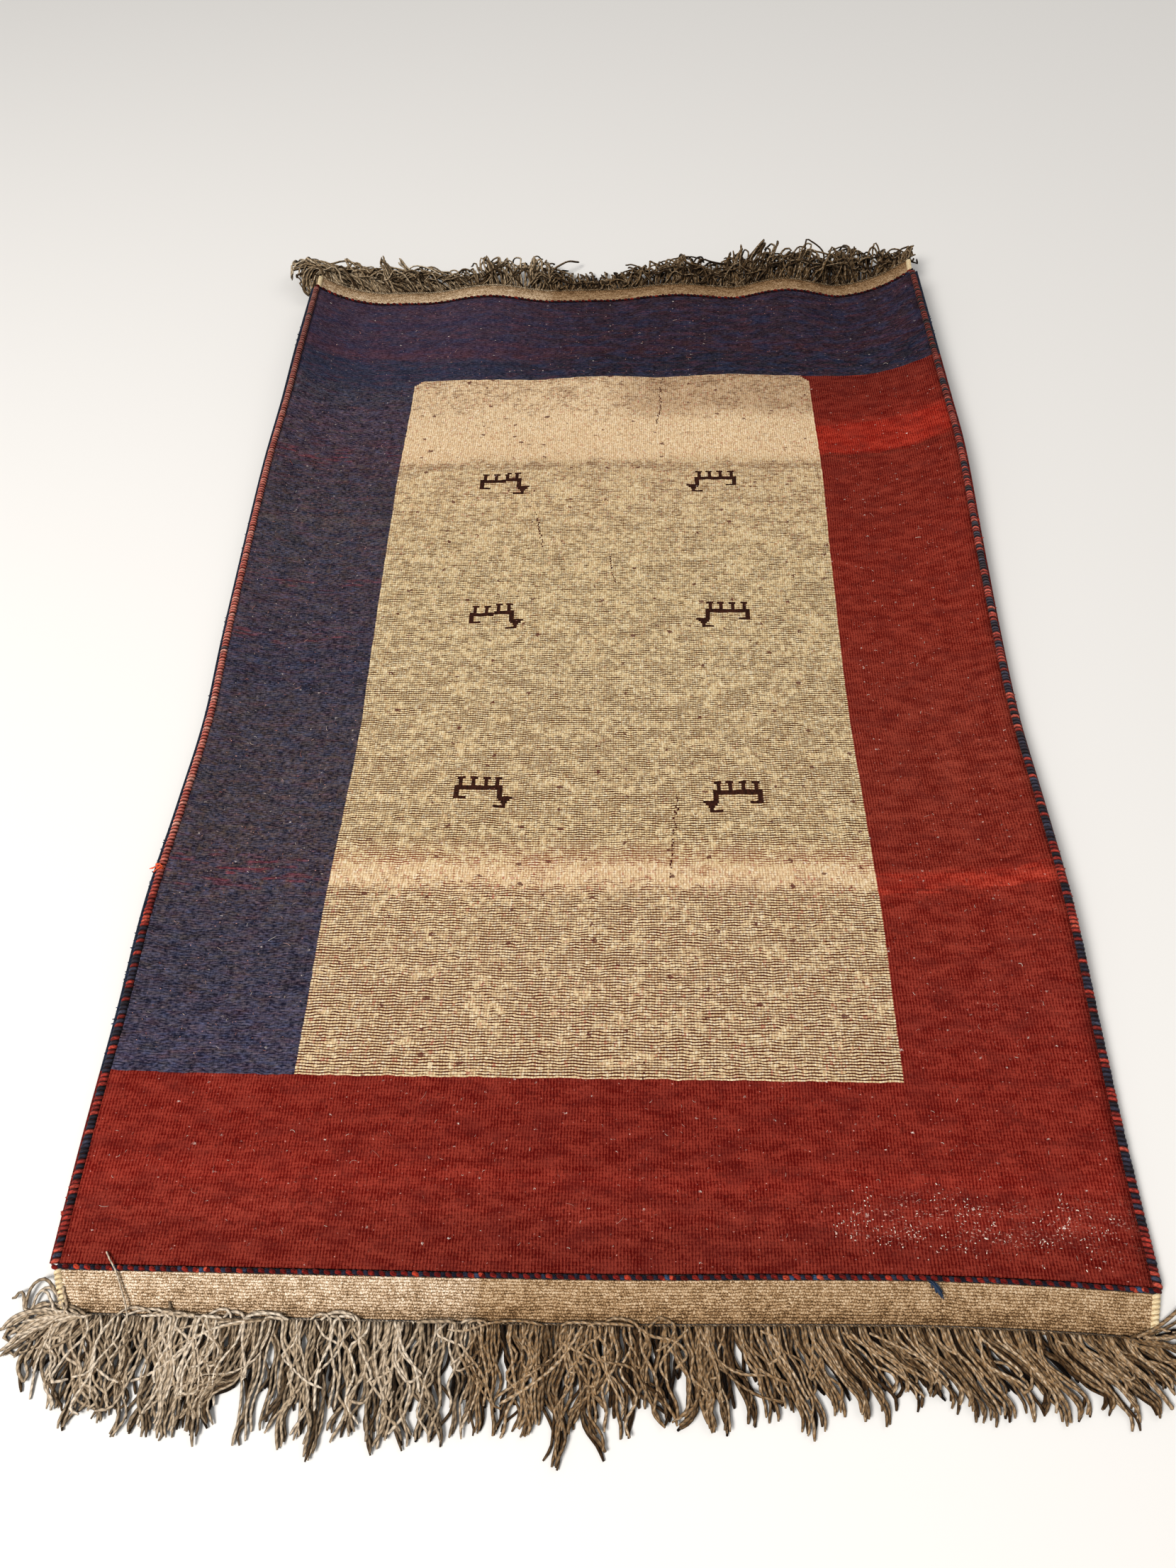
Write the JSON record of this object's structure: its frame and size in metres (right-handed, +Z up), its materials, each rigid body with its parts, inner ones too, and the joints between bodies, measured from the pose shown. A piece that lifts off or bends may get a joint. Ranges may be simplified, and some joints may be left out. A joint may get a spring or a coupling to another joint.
{
  "type": "gabbeh rug",
  "caption": "Hand-knotted wool rug lying back side up, with overcast side cords, twined end rows, flat-woven end bands and a yarn fringe at both ends.",
  "frame": {"origin": "middle of the rug's underside, on the floor it lies on", "axes": "+Z up; +Y along the rug from the near end to the far end; +X to the right, seen from the near end"},
  "size_m": [1.275, 2.1176, 0.0757],
  "materials": {
    "ground_wool": "knotted wool seen from its back, in red, navy and beige fields with rows of knots, matt",
    "selvedge_wool": "overcast wool cord in red and navy wraps, matt",
    "twining_wool": "row of alternating red and blue wool knots, matt",
    "band_wool": "beige flat-woven wool with fine ribs, matt",
    "fringe_wool": "plied undyed wool yarn, grey-beige to brown, matt"
  },
  "bodies": {
    "root": {"rug_ground": "ground_wool", "selvedge_left": "selvedge_wool", "selvedge_right": "selvedge_wool", "twining_near": "twining_wool", "twining_far": "twining_wool", "end_band_near": "band_wool", "end_band_far": "band_wool", "fringe_near": "fringe_wool", "fringe_far": "fringe_wool"}
  },
  "joints": []
}
